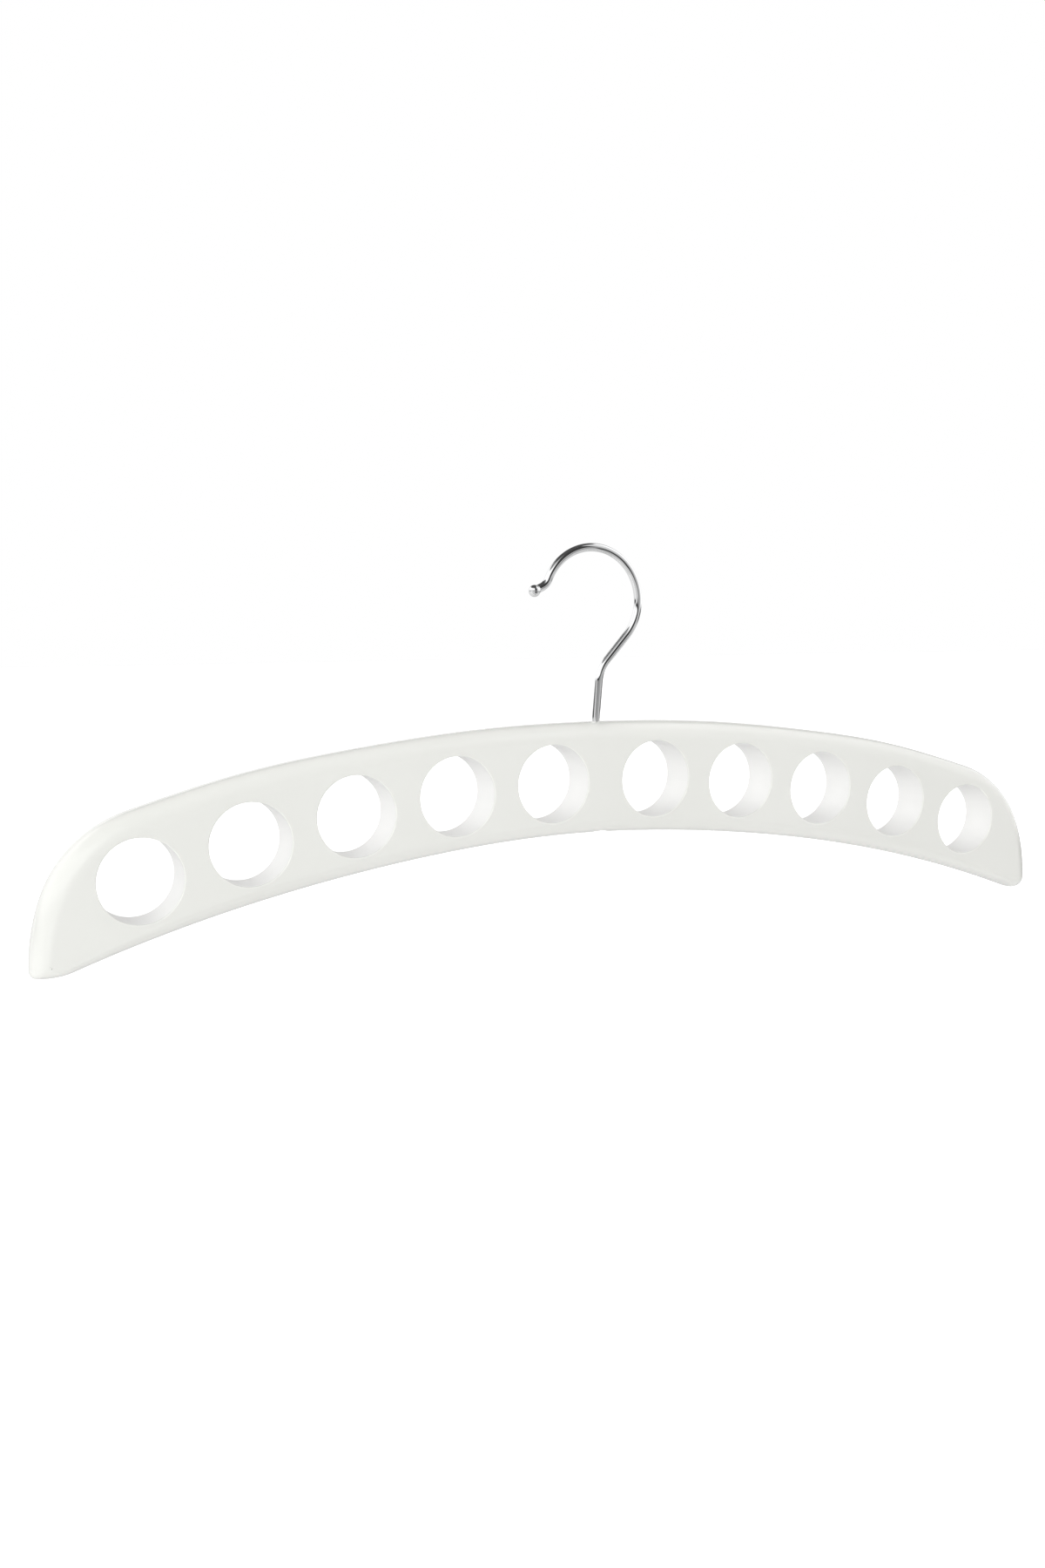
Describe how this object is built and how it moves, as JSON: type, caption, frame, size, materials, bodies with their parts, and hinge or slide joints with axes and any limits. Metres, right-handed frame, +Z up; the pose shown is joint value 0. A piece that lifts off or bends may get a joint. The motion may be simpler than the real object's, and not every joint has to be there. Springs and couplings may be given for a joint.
{
  "type": "scarf hanger",
  "caption": "Flat arched wooden hanger with a row of round holes to pull scarves through and a wire hook that swivels.",
  "frame": {"origin": "inside top of the hook's bow, where the closet rail carries it", "axes": "+X along the board to the right seen from the front, +Y from the front face to the back face, +Z up"},
  "size_m": [0.434, 0.017, 0.1494],
  "materials": {
    "lacquer": "gloss white lacquer over sanded hardwood",
    "chrome": "polished chrome plate on steel wire",
    "zinc": "bright zinc plate on steel",
    "nylon": "plain moulded nylon"
  },
  "bodies": {
    "hook": {"hook": "chrome", "washer": "zinc", "lock_nut": "zinc", "nut_ring": "nylon"},
    "board": {"board": "lacquer"}
  },
  "joints": [
    {"name": "hook_swivel", "type": "hinge", "parent": "hook", "child": "board", "pos_m": [0.00189, 0, -0.06526], "axis": [0, 0, 1], "continuous": true}
  ]
}
